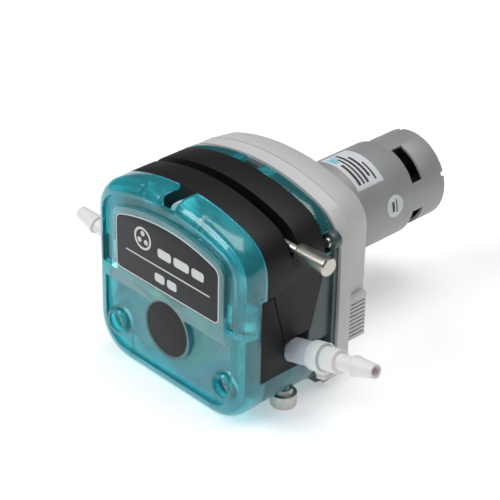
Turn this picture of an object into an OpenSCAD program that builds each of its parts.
// Peristaltic pump: a three-roller head with a lift-off occlusion block, driven by a
// brushed DC motor through a two-stage spur gear train. Millimetres, +Z up.
// The origin is on the base plane, under the middle of the tube plane.
// Inside the modules X runs across the head, Y runs back from its front face and
// Z is measured from the rotor axis; in_frame() moves that to the part's own frame.

/* [Pump head] */
// Width of the head
head_w = 95; // [90:0.5:114]
// Height of the arch crown above the rotor axis
head_top = 64.2; // [62:0.1:77]
// Height of the rotor axis above the base plane
axis_h = 31; // [29:0.5:37]
// Radius of the arched top
arch_r = 104.1; // [95:0.1:125]
// Radius of the upper corners
top_corner_r = 18; // [15:0.5:22]
// Radius of the lower corners
bottom_corner_r = 20; // [16:0.5:24]
// Depth of the front cover
cover_d = 13.5; // [13:0.1:16]
// Depth of the space for the tube between cover and rear shell
bay_d = 33; // [32:0.5:40]
// Wall of the moulded shells
wall = 2.4; // [2:0.1:3]
// Rounding of the front edge of the cover
edge_r = 7; // [5:0.5:8]

/* [Tube and rollers] */
// Outside diameter of the pump tube
tube_od = 11.2; // [10:0.1:12]
// Inside diameter of the pump tube
tube_id = 6.4; // [5:0.1:7]
// Thickness of the tube where it is squeezed flat
flat_t = 5; // [4.6:0.1:5.4]
// Radius that the roller tips sweep
sweep_r = 23.9; // [22:0.1:24.5]
// Diameter of one roller
roller_d = 17; // [14:0.5:17]
// Rise of the outlet tube end, in degrees
outlet_tilt = 15; // [5:1:18]
// Rise of the inlet tube end, in degrees
inlet_tilt = 8.5; // [5:0.5:18]
// Bore through a hose barb
barb_bore_d = 4.4; // [3:0.1:5]
// Diameter of the barb's widest edge
barb_d = 9.2; // [8.6:0.1:10.4]

/* [Lever] */
// Travel of the occlusion block when the lever is turned over
lift = 6; // [4:0.1:6.5]
// Height of the lever axle above the rotor axis
lever_z = 49; // [47:0.5:60]
// Length of the lever from its axle
lever_len = 66; // [62:1:80]
// Diameter of the lever rod
rod_d = 4; // [3:0.1:4.6]

/* [Drive] */
// Height of the motor shaft above the rotor axis
motor_z = 21.4; // [20:0.1:22.5]
// Diameter of the motor can
can_d = 42.4; // [38:0.1:44]
// Length of the motor can
can_l = 77.5; // [70:0.5:93]
// Module of the first gear pair
module_1 = 0.7; // [0.65:0.01:0.75]
// Module of the second gear pair
module_2 = 0.8; // [0.77:0.01:0.84]

/* [Mounting] */
// Spacing of the base holes across the head
base_dx = 50; // [46:1:54]
// Spacing of the base holes along the pump
base_dy = 20; // [16:1:22]
// Diameter of the base holes
base_hole_d = 4; // [3:0.1:5]

/* [Hidden] */
$fn = 64;

// Clearances
run = 0.05;                 // radial play of a part that turns on a pin
slide = 0.15;               // gap beside a part that slides
eps = 0.01;

// Depths along the pump, from the front face
bay_y0 = cover_d;
bay_y1 = cover_d + bay_d;
tube_y = cover_d + bay_d / 2;
shell_y1 = bay_y1 + 5;      // back of the rear shell
plate_y1 = shell_y1 + 2.5;  // back of the mounting plate
flange_y1 = plate_y1 + 7;   // step from the casing flange to the gear box
casing_y1 = flange_y1 + 14; // rear face of the casing
front_wall = 4.4;

// Head outline
half_w = head_w / 2;
arch_c = head_top - arch_r;
base_z = -axis_h;
corner_x = half_w - top_corner_r;
corner_z = arch_c + sqrt(pow(arch_r - top_corner_r, 2) - pow(corner_x, 2));
corner_a = atan2(corner_z - arch_c, corner_x);
badge_w = half_w - 14.9;     // half width of the badge
block_split = 31;           // where the block's side skirts begin
cheek_z0 = -2.6;            // side cheeks of the mounting plate, behind the skirts
cheek_z1 = 39.2;
skirt_low = [tube_y + 9.3, 5];    // rear edge of a skirt, low and high end
skirt_high = [bay_y1 - 0.6, 29.5];
boss_x = half_w - 13.7;     // head screws
boss_z = -12.7;
ear = [half_w - 1.2, 44.6]; // ears of the mounting plate
ear_r = 3.9;
foot_screw = [half_w - 12, -22];
flange_drop = 3.3;          // the casing's arch sits this much lower than the head's
skirt_y0 = tube_y - 5.1;    // the skirt over the tube, front and back
skirt_y1 = tube_y + 6;

// Tube path: wrap round the rotor, then a bend outwards on each side
line_r = sweep_r + run + flat_t / 2;
wrap_a = 20;
bend_r = 16;
bend_x = (line_r + bend_r) * cos(wrap_a);
bend_z = (line_r + bend_r) * sin(wrap_a);
track_r = line_r + flat_t / 2 + run;
tube_r = tube_od / 2;
groove_r = tube_r + 0.2;
tube_end = 23.5;            // straight length of tube after the bend
holder_x0 = half_w - 11.5;
holder_z0 = bend_z - bend_r - tube_r - 2;

// Rotor
roller_r = roller_d / 2;
orbit_r = sweep_r - roller_r;
pin_r = 2;
plate_t = 3;
rotor_y0 = bay_y0 + 1.1;
rotor_y1 = bay_y1 - 1.1;

// Gear train
pinion_1_n = 12;
wheel_1_n = 48;
pinion_2_n = 12;
wheel_2_n = 54;
pressure_a = 25;
backlash = 0.22;
reach_1 = module_1 * (pinion_1_n + wheel_1_n) / 2;
reach_2 = module_2 * (pinion_2_n + wheel_2_n) / 2;
idler_z = (pow(reach_2, 2) - pow(reach_1, 2) + pow(motor_z, 2)) / (2 * motor_z);
idler_x = sqrt(pow(reach_2, 2) - pow(idler_z, 2));
stage_2_y = plate_y1 + 0.6;
stage_1_y = flange_y1 + 0.5;

// Lift cams
axle_r = 3;
cam_r0 = 4.5;
cam_blend = 60;
cam_k = lift / PI;
cam_b = cam_blend * PI / 180;
cam_k2 = (lift + cam_k * cam_b / 2) / (PI - cam_b / 2);
shelf_z = lever_z - cam_r0 - run;
cam_room = cam_r0 + lift + 1.3;   // widest sweep of a cam beside its axle

// Clamp and its thumb screw
clamp_x = half_w - 5.5;
clamp_travel = 2.4;
flange_z0 = -22;
jaw_z0 = holder_z0 - 5;

// Motor
motor_y0 = casing_y1;
motor_y1 = motor_y0 + can_l;
can_r = can_d / 2;
can_t = 1.3;
ring_t = 1.3;
ring_l = 55;
motor_screw_x = 14.5;

teal = [0.28, 0.63, 0.67, 0.75];
black = [0.17, 0.17, 0.18];
steel = [0.72, 0.72, 0.70];
brass = [0.80, 0.65, 0.35];
white = [0.93, 0.93, 0.92];

// ---- helpers ----
module in_frame() translate([0, -tube_y, axis_h]) children();

// Extrudes a drawing in X and Z between two depths.
module slab(y0, y1) translate([0, y1, 0]) rotate([90, 0, 0]) linear_extrude(y1 - y0) children();

// Extrudes a drawing in Y and Z between two places across the head.
module side_slab(x0, x1) translate([x0, 0, 0]) rotate([90, 0, 90]) linear_extrude(x1 - x0) children();

module y_rod(r, y0, y1, x = 0, z = 0, r2 = undef, sides = 64)
    translate([x, y0, z]) rotate([-90, 0, 0])
        cylinder(r1 = r, r2 = is_undef(r2) ? r : r2, h = y1 - y0, $fn = sides);

module z_rod(r, z0, z1, x = 0, y = 0, sides = 64)
    translate([x, y, z0]) cylinder(r = r, h = z1 - z0, $fn = sides);

module box(x0, x1, y0, y1, z0, z1) translate([x0, y0, z0]) cube([x1 - x0, y1 - y0, z1 - z0]);

module both_sides() { children(); mirror([1, 0, 0]) children(); }

// A thin rib inside the cover between two points in X and Z.
module rib(p, q) slab(front_wall - 1, 8.3) translate(p) rotate(atan2(q[1] - p[1], q[0] - p[0]))
    translate([0, -0.7]) square([norm(q - p), 1.4]);

function arc(cx, cz, r, a0, a1, n) =
    [for (i = [0:n]) let (a = a0 + (a1 - a0) * i / n) [cx + r * cos(a), cz + r * sin(a)]];

// The head outline, d outside its face; the base line moves by b.
function outline(d = 0, b = 0) = concat(
    arc(half_w - bottom_corner_r, base_z + bottom_corner_r, bottom_corner_r + d, -90, 0, 8),
    arc(corner_x, corner_z, top_corner_r + d, 0, corner_a, 7),
    arc(0, arch_c, arch_r + d, corner_a, 180 - corner_a, 16),
    arc(-corner_x, corner_z, top_corner_r + d, 180 - corner_a, 180, 7),
    arc(bottom_corner_r - half_w, base_z + bottom_corner_r, bottom_corner_r + d, 180, 270, 8));

// A rounded panel under the arch: half width, bottom edge and inset from the arch.
function panel(hw, z0, inset, r_low, r_top) =
    let (r = arch_r - inset - r_top, x = hw - r_top, z = arch_c + sqrt(r * r - x * x), a = atan2(z - arch_c, x))
    concat(arc(hw - r_low, z0 + r_low, r_low, -90, 0, 6), arc(x, z, r_top, 0, a, 6),
        arc(0, arch_c, arch_r - inset, a, 180 - a, 16), arc(-x, z, r_top, 180 - a, 180, 6),
        arc(r_low - hw, z0 + r_low, r_low, 180, 270, 6));

// A solid through outlines of equal point count: sections are [depth, points].
module loft(sections) {
    n = len(sections[0][1]);
    last = len(sections) - 1;
    polyhedron(
        points = [for (s = sections) for (p = s[1]) [p[0], s[0], p[1]]],
        faces = concat(
            [[for (i = [n - 1:-1:0]) i]],
            [for (k = [0:last - 1]) for (i = [0:n - 1]) let (j = (i + 1) % n)
                [k * n + i, k * n + j, k * n + n + j, k * n + n + i]],
            [[for (i = [0:n - 1]) last * n + i]]),
        convexity = 4);
}

// A block with the head outline and a rounded front edge.
module rounded_slab(y0, y1, d, r) loft(concat(
    [for (a = [0:15:90]) [y0 + r * (1 - cos(a)), outline(d - r * (1 - sin(a)))]], [[y1, outline(d)]]));

// Everything that a tube of radius r takes up in the bend and after it, on the right.
module tube_space(r, tilt) {
    translate([bend_x, tube_y, bend_z]) rotate([90, 0, 0])
        rotate_extrude() translate([bend_r, 0]) circle(r = r, $fn = 48);
    translate([bend_x, tube_y, bend_z]) rotate([0, -tilt, 0]) translate([-2, 0, -bend_r])
        rotate([0, 90, 0]) cylinder(r = r, h = tube_end + 2, $fn = 48);
}

// Places something along the straight tube end on the right, x from the end of the bend.
module on_tube_axis(tilt) translate([bend_x, tube_y, bend_z]) rotate([0, -tilt, 0])
    translate([0, 0, -bend_r]) rotate([0, 90, 0]) children();

// Involute spur gear outline.
function inv(a) = tan(a) * 180 / PI - a;
function flank(n, m, r) = let (rp = m * n / 2, rb = rp * cos(pressure_a))
    90 / n - backlash / 4 / rp * 180 / PI + inv(pressure_a) - (r > rb ? inv(acos(rb / r)) : 0);
function gear_points(n, m) =
    let (rp = m * n / 2, rb = rp * cos(pressure_a), r0 = rp - 1.2 * m, r1 = rp + 0.9 * m, rs = max(rb, r0))
    [for (i = [0:n - 1]) for (p = [-5:5])
        let (q = abs(p), r = q == 5 ? r0 : rs + (r1 - rs) * (4 - q) / 4, side = p < 0 ? -1 : 1,
            half = flank(n, m, r), a = 360 / n * i + side * (p == 0 ? 0 : half))
        [r * cos(a), r * sin(a)]];
module gear(n, m, y0, y1, phase) slab(y0, y1) rotate(phase) polygon(gear_points(n, m));

// Support distance of the lift cam at f degrees from its lowest side, and its outline.
function cam_h(f) = f <= 180 ? cam_r0 + lift * f / 180
    : f <= 180 + cam_blend ? let (s = (f - 180) * PI / 180)
        cam_r0 + lift + cam_k * s - (cam_k + cam_k2) * s * s / (2 * cam_b)
    : cam_r0 + cam_k2 * (360 - f) * PI / 180;
function cam_slope(f) = f <= 180 ? cam_k
    : f <= 180 + cam_blend ? cam_k - (cam_k + cam_k2) * (f - 180) / cam_blend : -cam_k2;
function cam_outline() = [for (f = [0:7.5:359.9]) let (a = -90 - f, h = cam_h(f), s = cam_slope(f))
    [h * cos(a) + s * sin(a), h * sin(a) - s * cos(a)]];

// ---- front cover and what is fixed on it ----
module front_cover() color(teal) in_frame() difference() {
    union() {
        difference() {
            rounded_slab(0, cover_d, 0, edge_r);
            difference() {
                rounded_slab(wall, cover_d + 1, -wall, edge_r - wall);
                box(-half_w, half_w, 0, front_wall, base_z, head_top);
            }
        }
        // hub, screw bosses, cam shelf and ribs inside
        y_rod(11, front_wall - 1, 10);
        both_sides() y_rod(7, front_wall - 1, cover_d, boss_x, boss_z);
        both_sides() {
            box(half_w - 13, half_w - wall + 0.2, front_wall - 1, 10.3, 14, 28);
            rib([19, 62], [11.6, 52.5]);
            rib([19, 62], [17, 50.5]);
        }
        box(-12, 12, front_wall - 1, cover_d, shelf_z - 3, shelf_z);
        for (x = [-26, 26]) box(x - 0.8, x + 0.8, front_wall - 1, 10, base_z + 2, -14);
    }
    // recess between the ridge round the badge and the rim
    slab(-1, 2.2) difference() {
        polygon(outline(-edge_r + 1.2));
        polygon(panel(badge_w + 3.0, 9.7, 11.2, 3, 6.5));
        translate([-60, -60]) square([120, 60 + 16.5]);
    }
    // lower panel, leaving raised rings round the centre cap and the screw wells
    slab(-1, 1.9) difference() {
        polygon(outline(-edge_r - 0.3));
        translate([-60, 9.7]) square([120, 80]);
        circle(r = 14.6);
        both_sides() translate([boss_x, boss_z]) circle(r = 6.1);
    }
    // pockets for the badge and the cap
    slab(-1, 0.7) polygon(panel(badge_w + 0.2, 17.5, 14.0, 3.2, 4.7));
    y_rod(13.5, -1, 1.5);
    // bearing seat and shaft hole
    y_rod(6.5, front_wall + 0.6, 12);
    // screw wells
    both_sides() {
        y_rod(4.6, -1, 9, boss_x, boss_z);
        y_rod(2.2, 8, cover_d + 1, boss_x, boss_z);
        box(holder_x0 - 0.3, half_w + 1, 10.5, cover_d + 1, holder_z0 - 0.3, block_split + 0.3);
    }
    // notch over the lift cam
    box(-6.2, 4.6, -1, cover_d + 1, 57, head_top + 2);
}

module badge_plate() color(black) in_frame() slab(0.15, 0.7) polygon(panel(badge_w, 17.7, 14.2, 3, 4.5));

module badge_trim() color("silver") in_frame() {
    slab(0.05, 0.15) translate([-26, 28.8]) square([53, 0.7]);
    slab(0.05, 0.15) difference() {
        polygon(panel(badge_w, 17.7, 14.2, 3, 4.5));
        polygon(panel(badge_w - 0.6, 18.3, 14.8, 2.4, 3.9));
    }
}

module centre_cap() color(black) in_frame() y_rod(12.8, 0.3, 1.5);

module cap_bezel() color("silver") in_frame() difference() {
    y_rod(13.5, 0.15, 1.5);
    y_rod(12.8, 0, 2);
}

// ---- body behind the cover ----
module lower_housing() color(teal) in_frame() difference() {
    slab(bay_y0, bay_y1) difference() {
        polygon(outline());
        translate([-60, holder_z0]) square([120, 120]);
        both_sides() translate([33, base_z - 1]) square([30, flange_z0 - base_z + 1]);
        circle(r = sweep_r + 2.1);
    }
    both_sides() {
        y_rod(2.2, bay_y0 - 1, bay_y1 + 1, boss_x, boss_z);
        box(clamp_x - 3.7, clamp_x + 3.7, tube_y - 5.3, tube_y + 5.3, jaw_z0 - clamp_travel - 0.4, holder_z0 + 1);
        z_rod(2.6, flange_z0 - 1, jaw_z0, clamp_x, tube_y);
    }
    for (x = [-1, 1], y = [-1, 1])
        z_rod(base_hole_d / 2, base_z - 1, base_z + 8, x * base_dx / 2, tube_y + y * base_dy / 2);
}

module rear_shell() color(teal) in_frame() difference() {
    slab(bay_y1, shell_y1) difference() {
        polygon(outline());
        both_sides() translate([half_w - 7.8, holder_z0]) square([20, cheek_z1 + 0.3 - holder_z0]);
        translate([-cam_room, shelf_z]) square([2 * cam_room, lever_z - shelf_z + cam_room + 0.4]);
        translate([-5.5, 56]) square([11, 20]);
    }
    y_rod(12.5, bay_y1 - 1, shell_y1 + 1);
    both_sides() {
        y_rod(2.2, bay_y1 - 1, shell_y1 + 1, boss_x, boss_z);
        y_rod(3.2, bay_y1 - 1, shell_y1 + 1, foot_screw[0], foot_screw[1]);
        y_rod(ear_r + 0.5, bay_y1 - 1, shell_y1 + 1, ear[0], ear[1]);
    }
}

module mounting_plate() color([0.36, 0.42, 0.44, 0.8]) in_frame() difference() {
    union() {
        slab(shell_y1, plate_y1) difference() {
            translate([0, -flange_drop]) polygon(outline(0.9));
            translate([-70, base_z - 10]) square([140, 10]);
        }
        both_sides() {
            side_slab(half_w - 7.8, half_w - 1.2)
                polygon([[skirt_low[0] + 0.6, cheek_z0], [shell_y1, cheek_z0], [shell_y1, cheek_z1],
                    [skirt_high[0] + 0.6, cheek_z1], [skirt_high[0] + 0.6, skirt_high[1] - 1],
                    [skirt_low[0] + 0.6, skirt_low[1] - 1]]);
            y_rod(ear_r, shell_y1 - 1.5, plate_y1, ear[0], ear[1]);
        }
        y_rod(11.5, shell_y1 - 2.7, shell_y1 + 1);
    }
    y_rod(8, shell_y1 - 3, plate_y1 + 1);
    y_rod(pin_r, shell_y1 - 3, plate_y1 + 1, idler_x, idler_z);
    both_sides() {
        y_rod(2, shell_y1 - 3, plate_y1 + 1, boss_x, boss_z);
        y_rod(1.6, shell_y1 - 3, plate_y1 + 1, ear[0], ear[1]);
        y_rod(1.6, shell_y1 - 3, plate_y1 + 1, foot_screw[0], foot_screw[1]);
    }
}

module casing_outline(d, z0, drop = 0) intersection() {
    translate([0, -drop]) polygon(outline(d));
    translate([-70, z0]) square([140, 140]);
}

module gearbox_casing() color(white) in_frame() difference() {
    union() {
        slab(plate_y1, flange_y1) casing_outline(2.5, base_z, flange_drop);
        hull() {
            slab(flange_y1, flange_y1 + eps) casing_outline(-0.2, -10);
            slab(casing_y1 - 2, casing_y1 - 2 + eps) casing_outline(-1.7, -10);
            slab(casing_y1 - eps, casing_y1) casing_outline(-3.2, -8.5);
        }
        both_sides() box(half_w - 4, half_w + 1.4, casing_y1 - 13, casing_y1 - 3, -9.6, 12);
    }
    // flange room round the screw bosses, and gear room
    slab(plate_y1 - 1, flange_y1 - wall) difference() {
        casing_outline(0, base_z + wall, flange_drop);
        both_sides() for (p = [ear, foot_screw]) translate(p) circle(r = 2.9);
    }
    hull() {
        slab(plate_y1 - 1, plate_y1) casing_outline(-wall - 0.3, wall - 10);
        slab(casing_y1 - wall - eps, casing_y1 - wall) casing_outline(-wall - 2, wall - 10);
    }
    // louvres of the side vents
    both_sides() for (z = [-7.9:2:10]) box(half_w + 0.6, half_w + 2, casing_y1 - 14, casing_y1 - 2, z, z + 0.8);
    // motor seat and screw holes
    y_rod(8.8, casing_y1 - wall - 1, casing_y1 + 1, 0, motor_z);
    both_sides() y_rod(2.1, casing_y1 - wall - 1, casing_y1 + 1, motor_screw_x, motor_z);
    // screw holes from the front, each into a boss
    both_sides() for (p = [ear, foot_screw]) y_rod(1.65, plate_y1 - 1, plate_y1 + 2.4, p[0], p[1]);
}

module head_screws() color(steel) in_frame() both_sides() difference() {
    union() {
        y_rod(3.5, 3.6, 9, boss_x, boss_z);
        y_rod(2, 9, plate_y1 - 0.3, boss_x, boss_z);
    }
    y_rod(1.7, 3, 6.2, boss_x, boss_z, sides = 6);
}

module casing_screws() color(steel) in_frame() both_sides() {
    for (p = [[ear, shell_y1 - 1.5, 2.3], [foot_screw, shell_y1, 2.7]]) difference() {
        union() {
            y_rod(1.6, p[1] - eps, plate_y1 + 2, p[0][0], p[0][1]);
            y_rod(p[2], p[1] - 2, p[1], p[0][0], p[0][1]);
        }
        y_rod(1.2, p[1] - 3, p[1] - 0.8, p[0][0], p[0][1], sides = 6);
    }
}

module motor_screws() color(steel) in_frame() both_sides() {
    y_rod(3.5, casing_y1 - wall - 2, casing_y1 - wall, motor_screw_x, motor_z);
    y_rod(2, casing_y1 - wall, casing_y1 + 3, motor_screw_x, motor_z);
}

// ---- tube, its holders and connectors ----
module tube_holder(tilt) color(black) in_frame() difference() {
    side_slab(holder_x0, half_w) polygon([[10.5, holder_z0], [bay_y1 - 0.4, holder_z0],
        [bay_y1 - 0.4, cheek_z0 - 0.5], [skirt_y0 - 0.6, cheek_z0 - 0.5], [skirt_y0 - 0.6, 4],
        [17, block_split], [10.5, block_split]]);
    for (z = [-7.6:1.4:-4]) box(half_w - 0.5, half_w + 1, tube_y + 3, bay_y1 - 1, z, z + 0.6);
    tube_space(groove_r, tilt);
    box(clamp_x - 3.7, clamp_x + 3.7, tube_y - 5.3, tube_y + 5.3, holder_z0 - 1, holder_z0 + 9);
}
module tube_holder_right() tube_holder(outlet_tilt);
module tube_holder_left() mirror([1, 0, 0]) tube_holder(inlet_tilt);

// Half thickness and half width of the tube at distance s after the wrap ends.
tube_round_in = 11;
tube_sides = 12;
function ease(s) = let (t = min(1, max(0, (s - 1) / (tube_round_in - 1)))) t * t * (3 - 2 * t);
flat_half_w = 7.3;
wall_t = (tube_od - tube_id) / 2;
function ring_size(s) = [flat_t / 2 + (tube_r - flat_t / 2) * ease(s), flat_half_w + (tube_r - flat_half_w) * ease(s)];
// One ring: centre, direction across the tube in the XZ plane, inner or outer surface.
function ring(c, a, size) = [for (i = [0:tube_sides - 1]) let (t = 360 / tube_sides * (i + 0.5),
    u = size[0] * cos(t)) [c[0] + u * cos(a), tube_y + size[1] * sin(t), c[1] + u * sin(a)]];
// Stations on one side, from the top of the wrap to the tube end: [x, z, angle across, s].
function side_stations(tilt) = concat(
    [for (a = [85:-5:wrap_a]) [line_r * cos(a), line_r * sin(a), a, 0]],
    [for (i = [1:14]) let (turn = (90 - wrap_a + tilt) * i / 14, a = 180 + wrap_a + turn)
        [bend_x + bend_r * cos(a), bend_z + bend_r * sin(a), a - 180, bend_r * turn * PI / 180]],
    [for (l = [6, 12, 18, tube_end - 4, tube_end]) [bend_x + bend_r * sin(tilt) + l * cos(tilt),
        bend_z - bend_r * cos(tilt) + l * sin(tilt), 90 + tilt, 99]]);
function mirrored(p) = [-p[0], p[1], 180 - p[2], p[3]];
function reversed(v) = [for (i = [len(v) - 1:-1:0]) v[i]];

tube_path = concat(reversed([for (p = side_stations(inlet_tilt)) mirrored(p)]), [[0, line_r, 90, 0]],
    side_stations(outlet_tilt));
tube_n = len(tube_path);
// Number of a point: skin 0 outside or 1 inside, station i, place j round the ring.
function tube_id(skin, i, j) = (skin * tube_n + i) * tube_sides + (j + tube_sides) % tube_sides;
module pump_tube() color([0.82, 0.86, 0.92, 0.8]) in_frame() polyhedron(
    points = concat(
        [for (p = tube_path) each ring([p[0], p[1]], p[2], ring_size(p[3]))],
        [for (p = tube_path) each ring([p[0], p[1]], p[2],
            [max(0.2, ring_size(p[3])[0] - wall_t), ring_size(p[3])[1] - wall_t])]),
    faces = [for (j = [0:tube_sides - 1]) each concat(
        [for (i = [0:tube_n - 2]) each [
            [tube_id(0, i, j), tube_id(0, i, j + 1), tube_id(0, i + 1, j + 1), tube_id(0, i + 1, j)],
            [tube_id(1, i, j), tube_id(1, i + 1, j), tube_id(1, i + 1, j + 1), tube_id(1, i, j + 1)]]],
        [[tube_id(0, 0, j), tube_id(1, 0, j), tube_id(1, 0, j + 1), tube_id(0, 0, j + 1)],
            [tube_id(0, tube_n - 1, j), tube_id(0, tube_n - 1, j + 1),
                tube_id(1, tube_n - 1, j + 1), tube_id(1, tube_n - 1, j)]])],
    convexity = 8);

// Hose connector, drawn along +Z from the end of the bend.
stem_r = tube_id / 2 - 0.15;
body_z0 = tube_end + 0.3;
body_z1 = body_z0 + 7.9;
barb_z0 = body_z1 + 8.2;
barb_z1 = barb_z0 + 1.5;
barb_z2 = barb_z1 + 10.7;
module connector() difference() {
    union() {
        z_rod(stem_r, tube_end - 12, body_z0 + eps);
        z_rod(5.3, body_z0, body_z1);
        z_rod(3.6, body_z1 - eps, barb_z0 + eps);
        z_rod(barb_d / 2, barb_z0, barb_z1);
        translate([0, 0, barb_z1 - eps]) cylinder(r1 = barb_d / 2 - 0.2, r2 = 3.1, h = barb_z2 - barb_z1);
    }
    z_rod(barb_bore_d / 2, 0, barb_z2 + 1);
}
module outlet_connector() color(white) in_frame() on_tube_axis(outlet_tilt) connector();
module inlet_connector() color(white) in_frame() mirror([1, 0, 0]) on_tube_axis(inlet_tilt) connector();

// Snap clip round the tube end, with its grip pointing down.
module hose_clip() difference() {
    union() {
        z_rod(6.6, tube_end - 7, tube_end - 0.5);
        box(5.8, 9.6, -2.2, 2.2, tube_end - 6.2, tube_end - 1.3);
    }
    z_rod(tube_r + 0.02, 0, tube_end + 1);
    for (x = [7.6, 8.6]) for (side = [-1, 1])
        box(x, x + 0.4, side * 2.2 - 0.4, side * 2.2 + 0.4, tube_end - 8, tube_end);
}
module outlet_clip() color(white) in_frame() on_tube_axis(outlet_tilt) hose_clip();
module inlet_clip() color(white) in_frame() mirror([1, 0, 0]) on_tube_axis(inlet_tilt) hose_clip();

// ---- clamps: a jaw lifts the tube, driven by a captive thumb screw ----
jaw_v = bend_z - bend_r - (tube_r + 0.08) / sin(60);
module clamp_jaw() color(black) in_frame() difference() {
    box(clamp_x - 3.5, clamp_x + 3.5, tube_y - 5.1, tube_y + 5.1, jaw_z0, jaw_v + 5.1 / tan(60));
    side_slab(clamp_x - 5, clamp_x + 5)
        polygon([[tube_y, jaw_v], [tube_y + 8, jaw_v + 8 / tan(60)], [tube_y - 8, jaw_v + 8 / tan(60)]]);
    z_rod(2.6, jaw_z0 - 1, jaw_z0 + 2 + clamp_travel + 0.5, clamp_x, tube_y);
}
module clamp_jaw_right() clamp_jaw();
module clamp_jaw_left() mirror([1, 0, 0]) clamp_jaw();

module thumb_screw() color(steel) in_frame() {
    translate([clamp_x, tube_y, base_z + 0.5]) linear_extrude(6.1)
        polygon([for (i = [0:71]) let (r = 6 - 0.25 * (i % 2)) [r * cos(5 * i), r * sin(5 * i)]]);
    z_rod(4, flange_z0 - 2.41, flange_z0 - run, clamp_x, tube_y);
    z_rod(2.5, flange_z0 - run - eps, jaw_z0 + 2, clamp_x, tube_y);
}
module thumb_screw_right() thumb_screw();
module thumb_screw_left() mirror([1, 0, 0]) thumb_screw();

// ---- occlusion block and its lever ----
nose_r = bend_r - tube_r - 0.3;
// Lower edge of the block beyond its nose, parallel to the tube end.
function heel(tilt) = let (x = bend_x + nose_r * sin(tilt), z = bend_z - nose_r * cos(tilt) + 0.2)
    [[bend_x, bend_z + 1], [x, z], [half_w, z + (half_w - x) * tan(tilt)], [half_w, bend_z + 1]];
module block_side(tilt) intersection() {
    polygon(outline());
    union() {
        translate([bend_x, bend_z]) circle(r = nose_r);
        polygon(heel(tilt));
    }
}
module occlusion_block() color(black) in_frame() difference() {
    slab(bay_y0 + slide, bay_y1 - slide) difference() {
        union() {
            difference() {
                polygon(outline());
                translate([-60, base_z - 1]) square([120, bend_z - base_z + 1]);
            }
            block_side(outlet_tilt);
            mirror([1, 0]) block_side(inlet_tilt);
        }
        circle(r = track_r);
    }
    both_sides() side_slab(holder_x0 - 0.3, half_w + 1) {
        polygon([[0, -40], [0, block_split + 0.4], [17.6, block_split + 0.4], [skirt_y0, 4.4], [skirt_y0, -40]]);
        polygon([[skirt_y1, -40], [skirt_y1, cheek_z0 - 0.5], [skirt_low[0], cheek_z0], skirt_low, skirt_high,
            [skirt_high[0], cheek_z1 + 0.3], [80, cheek_z1 + 0.3], [80, -40]]);
    }
    box(-60, 60, tube_y - rod_d / 2 - 0.6, tube_y + rod_d / 2 + 0.6, lever_z - rod_d / 2 - 0.5, 90);
    y_rod(axle_r + run, bay_y0 - 1, bay_y1 + 1, 0, lever_z);
}

module x_rod(r, x0, x1, r2 = undef, sides = 64) translate([x0, tube_y, lever_z]) rotate([0, 90, 0])
    cylinder(r1 = r, r2 = is_undef(r2) ? r : r2, h = x1 - x0, $fn = sides);

knob_x0 = lever_len - 17;
module lever_axle() color(steel) in_frame() difference() {
    y_rod(axle_r, 7.8, shell_y1 - 0.3, 0, lever_z);
    x_rod(rod_d / 2, -2.2, 10);
}
module lift_cams() color(white) in_frame() difference() {
    for (y = [cover_d - 4.7, bay_y1 + 0.6]) slab(y, y + 4.1) translate([0, lever_z]) polygon(cam_outline());
    y_rod(axle_r, 0, shell_y1 + 5, 0, lever_z);
}
module lever_rod() color(steel) in_frame() x_rod(rod_d / 2, -2.2, knob_x0 + 12);
module lever_knob() color(steel) in_frame() difference() {
    union() {
        x_rod(3.65, knob_x0, lever_len - 0.6, 4.2);
        x_rod(4.2, lever_len - 0.6 - eps, lever_len, 3.7);
    }
    x_rod(rod_d / 2, knob_x0 - 1, knob_x0 + 12);
}

// ---- rotor ----
roller_phase = -75;
module rotor_disc(y0, y1, bore) slab(y0, y1) difference() {
    union() {
        circle(r = 10.5);
        for (a = roller_angles) rotate(a) {
            translate([orbit_r, 0]) circle(r = 6.2);
            translate([0, -4.5]) square([orbit_r, 9]);
        }
    }
    circle(r = bore);
    for (a = roller_angles) rotate(a) translate([orbit_r, 0]) circle(r = pin_r);
}
roller_angles = [roller_phase, roller_phase + 120, roller_phase + 240];
hub_r = orbit_r - roller_r - 0.5;
module rotor_front_plate() color([0.75, 0.78, 0.35]) in_frame() rotor_disc(rotor_y0, rotor_y0 + plate_t, hub_r - 1.5);
module rotor_rear_plate() color([0.75, 0.78, 0.35]) in_frame() rotor_disc(rotor_y1 - plate_t, rotor_y1, hub_r - 1.5);
module rotor_shaft() color(steel) in_frame() {
    y_rod(3 - run, front_wall + 1, rotor_y0 + eps);
    y_rod(hub_r - 1.5, rotor_y0, rotor_y1);
    y_rod(hub_r, rotor_y0 + plate_t, rotor_y1 - plate_t);
    y_rod(4 - run, rotor_y1 - eps, stage_2_y);
    y_rod(3.9, stage_2_y - eps, stage_2_y + 4.6, sides = 12);
}
module roller_pins() color(steel) in_frame() for (a = roller_angles)
    y_rod(pin_r, rotor_y0, rotor_y1, orbit_r * cos(a), orbit_r * sin(a));
module roller(a) color(white) in_frame() difference() {
    y_rod(roller_r, rotor_y0 + plate_t + 0.2, rotor_y1 - plate_t - 0.2, orbit_r * cos(a), orbit_r * sin(a));
    y_rod(pin_r + run, 0, 80, orbit_r * cos(a), orbit_r * sin(a));
}
module roller_1() roller(roller_angles[0]);
module roller_2() roller(roller_angles[1]);
module roller_3() roller(roller_angles[2]);

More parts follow.
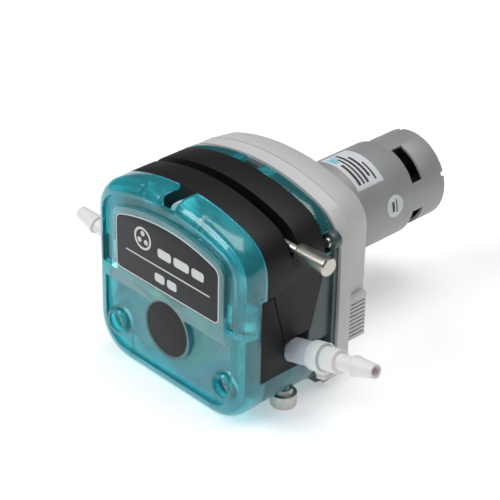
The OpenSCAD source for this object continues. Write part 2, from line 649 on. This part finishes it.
module ball_race(r0, r1, y0, y1, x = 0, z = 0) difference() {
    y_rod(r1, y0, y1, x, z);
    y_rod(r0, y0 - 1, y1 + 1, x, z);
    for (y = [y0 - 1, y1 - 0.4]) difference() {
        y_rod((r0 + r1) / 2 + 0.8, y, y + 1.4, x, z);
        y_rod((r0 + r1) / 2 - 0.8, y - 1, y + 3, x, z);
    }
}
module front_bearing() color(steel) in_frame() ball_race(3, 6.5, front_wall + 0.6, 10);
module rear_bearing() color(steel) in_frame() ball_race(4, 8, shell_y1 - 2.7, plate_y1);

// ---- gears ----
angle_1 = atan2(idler_z - motor_z, idler_x);
angle_2 = atan2(-idler_z, -idler_x);
module at_idler() translate([idler_x, 0, idler_z]) children();
module at_motor() translate([0, 0, motor_z]) children();

module output_gear() color(white) in_frame() difference() {
    gear(wheel_2_n, module_2, stage_2_y, stage_2_y + 3.6, angle_2 + 180 + 180 / wheel_2_n);
    y_rod(3.9, stage_2_y - 1, stage_2_y + 6, sides = 12);
    for (a = [0:60:300]) y_rod(4, stage_2_y - 1, stage_2_y + 6, 12.5 * cos(a), 12.5 * sin(a), sides = 12);
}
module idler_pinion() color(white) in_frame() at_idler() difference() {
    gear(pinion_2_n, module_2, stage_2_y - 0.3, stage_1_y, angle_2);
    y_rod(pin_r + 0.2, 0, 90, sides = 12);
}
module idler_gear() color(white) in_frame() at_idler() difference() {
    gear(wheel_1_n, module_1, stage_1_y, stage_1_y + 4.5, angle_1 + 180 + 180 / wheel_1_n);
    y_rod(pin_r + 0.2, 0, 90, sides = 12);
    for (a = [0:72:288]) y_rod(3.4, 0, 90, 9.5 * cos(a), 9.5 * sin(a), sides = 12);
}
module idler_pin() color(steel) in_frame() at_idler() y_rod(pin_r, shell_y1, casing_y1 - wall);
module motor_pinion() color(brass) in_frame() at_motor() difference() {
    gear(pinion_1_n, module_1, stage_1_y - 0.4, stage_1_y + 5, angle_1);
    y_rod(2.2, 0, 90, sides = 12);
}

// ---- motor ----
module sector(r, a0, a1) polygon(concat([[0, 0]], arc(0, 0, r, a0, a1, 12)));

module motor_can() color(steel) in_frame() at_motor() difference() {
    union() {
        y_rod(can_r, motor_y0, motor_y1);
        y_rod(8.7, motor_y0 - 4, motor_y0 + 1);
    }
    y_rod(can_r - can_t, motor_y0 + 1.5, motor_y1 + 1);
    y_rod(6, motor_y0 - 3.5, motor_y0 + 3);
    y_rod(3, motor_y0 - 6, motor_y0 + 3);
    // vents near the back, and notches rolled into the rim
    for (a = [51:90:321]) slab(motor_y0 + 57.2, motor_y0 + 64) sector(can_r + 3, a - 26, a + 26);
    for (a = [20:90:290]) slab(motor_y1 - 1.6, motor_y1 + 1) sector(can_r + 3, a - 3, a + 3);
    both_sides() y_rod(2, motor_y0 - 1, motor_y0 + 3, 14.5, 0);
}
module flux_ring() color(steel) in_frame() at_motor() difference() {
    y_rod(can_r + ring_t, motor_y0, motor_y0 + ring_l);
    y_rod(can_r, motor_y0 - 1, motor_y0 + ring_l + 1);
}
module motor_end_cap() color(black) in_frame() at_motor() difference() {
    union() {
        y_rod(can_r - can_t, motor_y1 - 6, motor_y1 - 2.2);
        y_rod(8, motor_y1 - 6, motor_y1 + 0.5);
    }
    y_rod(5.5, motor_y1 - 7, motor_y1 - 1.5);
    y_rod(2.8, motor_y1 - 7, motor_y1 + 2);
    both_sides() box(12.9, 14.1, motor_y1 - 7, motor_y1, -2.5, 2.5);
}
module motor_terminals() color(brass) in_frame() at_motor() both_sides() difference() {
    box(13, 14, motor_y1 - 7.5, motor_y1 + 5, -2.4, 2.4);
    translate([12, motor_y1 + 2.6, 0]) rotate([0, 90, 0]) cylinder(r = 0.9, h = 3);
}
module field_magnets() color([0.3, 0.3, 0.3]) in_frame() at_motor() difference() {
    y_rod(can_r - can_t, motor_y0 + 9, motor_y0 + 53);
    y_rod(can_r - can_t - 3.4, motor_y0, motor_y0 + 60);
    box(-30, 30, motor_y0, motor_y0 + 60, -4.5, 4.5);
}
module motor_bearings() color(brass) in_frame() at_motor() {
    difference() {
        y_rod(6, motor_y0 - 3.5, motor_y0 + 1);
        y_rod(2.5, motor_y0 - 5, motor_y0 + 2);
    }
    difference() {
        y_rod(5.5, motor_y1 - 5.5, motor_y1 - 1.5);
        y_rod(2.5, motor_y1 - 7, motor_y1);
    }
}
module brush_gear() color(brass) in_frame() at_motor() both_sides() {
    box(5.25, 12, motor_y1 - 17, motor_y1 - 12, -2, 2);
    box(12, 12.8, motor_y1 - 17, motor_y1 - 6, -3, 3);
}
module motor_shaft() color(steel) in_frame() at_motor() {
    y_rod(2.2, stage_1_y - 0.6, stage_1_y + 5.2, sides = 12);
    y_rod(2.5 - run, stage_1_y + 5.2 - eps, motor_y1 + 1.2);
}
module armature_core() color([0.45, 0.45, 0.46]) in_frame() at_motor()
    slab(motor_y0 + 11, motor_y0 + 49) difference() {
        circle(r = 15.6);
        circle(r = 2.5 - run);
        for (a = [0:72:288]) rotate(a) {
            translate([13, -1]) square([4, 2]);
            translate([10.2, 0]) circle(r = 3.6);
        }
    }
module armature_windings() color([0.72, 0.38, 0.2]) in_frame() at_motor() difference() {
    union() {
        y_rod(13.5, motor_y0 + 5, motor_y0 + 11);
        y_rod(13.5, motor_y0 + 49, motor_y0 + 56.5);
        for (a = [0:72:288])
            y_rod(3.4, motor_y0 + 10, motor_y0 + 50, 10.2 * cos(a), 10.2 * sin(a));
    }
    y_rod(4.2, motor_y0, motor_y0 + 70);
}
module commutator() color(brass) in_frame() at_motor() difference() {
    y_rod(5.1, motor_y1 - 18.5, motor_y1 - 10);
    y_rod(2.5 - run, motor_y0, motor_y1);
    for (a = [0:72:288]) translate([0, motor_y1 - 20, 0]) rotate([0, a, 0]) translate([4.3, 0, -0.2]) cube([2, 12, 0.4]);
}
module motor_label() color(white) in_frame() at_motor() slab(motor_y0 + 24.5, motor_y0 + 41)
    difference() {
        intersection() {
            circle(r = can_r + ring_t + 0.12, $fn = 96);
            sector(can_r + 20, 44, 112);
        }
        circle(r = can_r + ring_t, $fn = 96);
    }
module inspection_sticker() color(white) in_frame() at_motor() difference() {
    intersection() {
        y_rod(can_r + ring_t + 0.12, motor_y0 + 30, motor_y0 + 55);
        translate([0, motor_y0 + 43, 0]) rotate([0, 90 - 10.2, 0]) cylinder(r = 5.2, h = 30);
    }
    y_rod(can_r + ring_t, motor_y0, motor_y0 + 60);
}

front_cover();
badge_plate();
badge_trim();
centre_cap();
cap_bezel();
lower_housing();
rear_shell();
mounting_plate();
gearbox_casing();
head_screws();
casing_screws();
motor_screws();
tube_holder_right();
tube_holder_left();
pump_tube();
outlet_connector();
inlet_connector();
outlet_clip();
inlet_clip();
front_bearing();
rear_bearing();
idler_pin();
motor_can();
flux_ring();
motor_end_cap();
motor_terminals();
field_magnets();
motor_bearings();
brush_gear();
motor_label();
inspection_sticker();
occlusion_block();
lever_axle();
lift_cams();
lever_rod();
lever_knob();
rotor_front_plate();
rotor_rear_plate();
rotor_shaft();
roller_pins();
output_gear();
roller_1();
roller_2();
roller_3();
idler_gear();
idler_pinion();
motor_shaft();
armature_core();
armature_windings();
commutator();
motor_pinion();
thumb_screw_right();
thumb_screw_left();
clamp_jaw_right();
clamp_jaw_left();
